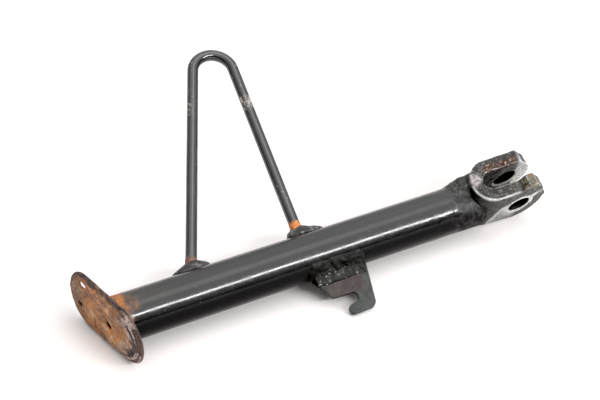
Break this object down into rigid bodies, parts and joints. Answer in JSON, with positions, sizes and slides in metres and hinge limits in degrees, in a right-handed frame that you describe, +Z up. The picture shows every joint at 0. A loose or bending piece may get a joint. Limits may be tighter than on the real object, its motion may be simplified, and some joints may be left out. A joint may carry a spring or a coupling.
{
  "type": "motorcycle kickstand leg",
  "caption": "Side stand leg: tube with a two-eared pivot clevis, an oval foot pan, a bent-rod step loop and a flat spring hook, all welded together.",
  "frame": {"origin": "middle of the pivot axis, between the two ears of the clevis", "axes": "+X along the leg from the foot to the pivot, +Y to the step loop's side, +Z up as the leg lies on a bench; the pivot axis is turned 26.5 degrees up from +Y about the leg"},
  "size_m": [0.3481, 0.2138, 0.1047],
  "materials": {
    "tube_black": "gloss black paint, chipped, rusty by the foot",
    "rod_black": "gloss black paint, scuffed, rust rings at the ends",
    "clevis_worn": "dull worn paint over rough plate, bare where the bracket rubbed",
    "weld_bead": "lumpy painted weld bead with spatter",
    "pad_weld": "weld pad, thin paint",
    "foot_rust": "rusted bare steel with remains of paint at the rim",
    "hook_plate": "matt worn dark grey paint with a brown-grey patch"
  },
  "bodies": {
    "root": {"leg_tube": "tube_black", "step_loop": "rod_black", "clevis": "clevis_worn", "clevis_weld": "weld_bead", "hook_weld_upper": "weld_bead", "hook_weld_lower": "weld_bead", "step_weld_rear": "pad_weld", "step_weld_front": "pad_weld", "foot_plate": "foot_rust", "foot_weld": "foot_rust", "spring_hook": "hook_plate"}
  },
  "joints": []
}
